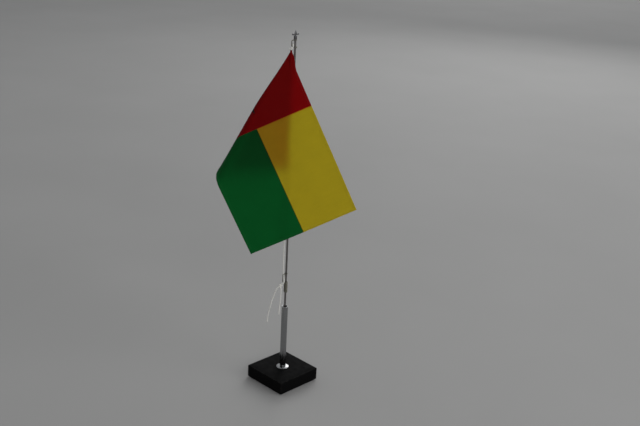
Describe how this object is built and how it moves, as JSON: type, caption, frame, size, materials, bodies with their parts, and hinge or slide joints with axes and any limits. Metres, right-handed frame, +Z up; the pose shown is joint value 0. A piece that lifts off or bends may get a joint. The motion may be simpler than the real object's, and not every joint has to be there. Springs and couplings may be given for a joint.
{
  "type": "desk flag stand",
  "caption": "Desk flag stand: square weighted base, upright socket tube, thin lift-out mast with spear finial, and a folded cloth flag on a cord between two wire clips.",
  "frame": {"origin": "middle of the felt's underside, on the table", "axes": "+Z up along the mast; X and Y along the sides of the square base"},
  "size_m": [0.1239, 0.1251, 0.45],
  "materials": {
    "black_paint": "matt black paint on a wooden block, fine grain under the paint",
    "black_felt": "black felt",
    "zinc_steel": "zinc-plated steel",
    "chrome": "polished chrome plate",
    "black_plastic": "moulded black plastic",
    "rod_steel": "drawn bright steel rod",
    "cast_metal": "dull nickelled casting",
    "spring_wire": "dull spring wire",
    "white_cord": "braided off-white cord",
    "flag_cloth": "thin woven flag cloth: red hoist band, yellow over green fly"
  },
  "bodies": {
    "base": {"base_block": "black_paint", "base_felt": "black_felt", "base_screw": "zinc_steel", "screw_washer": "zinc_steel", "tube_disc": "chrome", "holder_tube": "chrome", "tube_plug": "zinc_steel"},
    "bush": {"mouth_bush": "black_plastic"},
    "mast": {"mast_rod": "rod_steel", "finial_collar": "cast_metal", "finial_spear": "cast_metal", "top_clip": "spring_wire", "eye_loop": "white_cord", "top_knot": "white_cord", "halyard_upper": "white_cord"},
    "flag": {"flag_cloth": "flag_cloth"},
    "clip": {"lower_clip": "spring_wire", "halyard_lower": "white_cord", "clip_knot": "white_cord", "long_tail": "white_cord", "short_tail": "white_cord"}
  },
  "joints": [
    {"name": "mast_swivel", "type": "hinge", "parent": "base", "child": "bush", "pos_m": [0, 0, 0.095], "axis": [0, 0, 1], "continuous": true},
    {"name": "mast_lift", "type": "slide", "parent": "bush", "child": "mast", "axis": [0, 0, 1], "range_m": [0, 0.07]},
    {"name": "flag_swing", "type": "hinge", "parent": "mast", "child": "flag", "pos_m": [-0.0012, -0.00475, 0.35], "axis": [0, 0, 1], "range_deg": [-70, 15]},
    {"name": "clip_slide", "type": "slide", "parent": "mast", "child": "clip", "axis": [0, 0, 1], "range_m": [0, 0.01]}
  ]
}
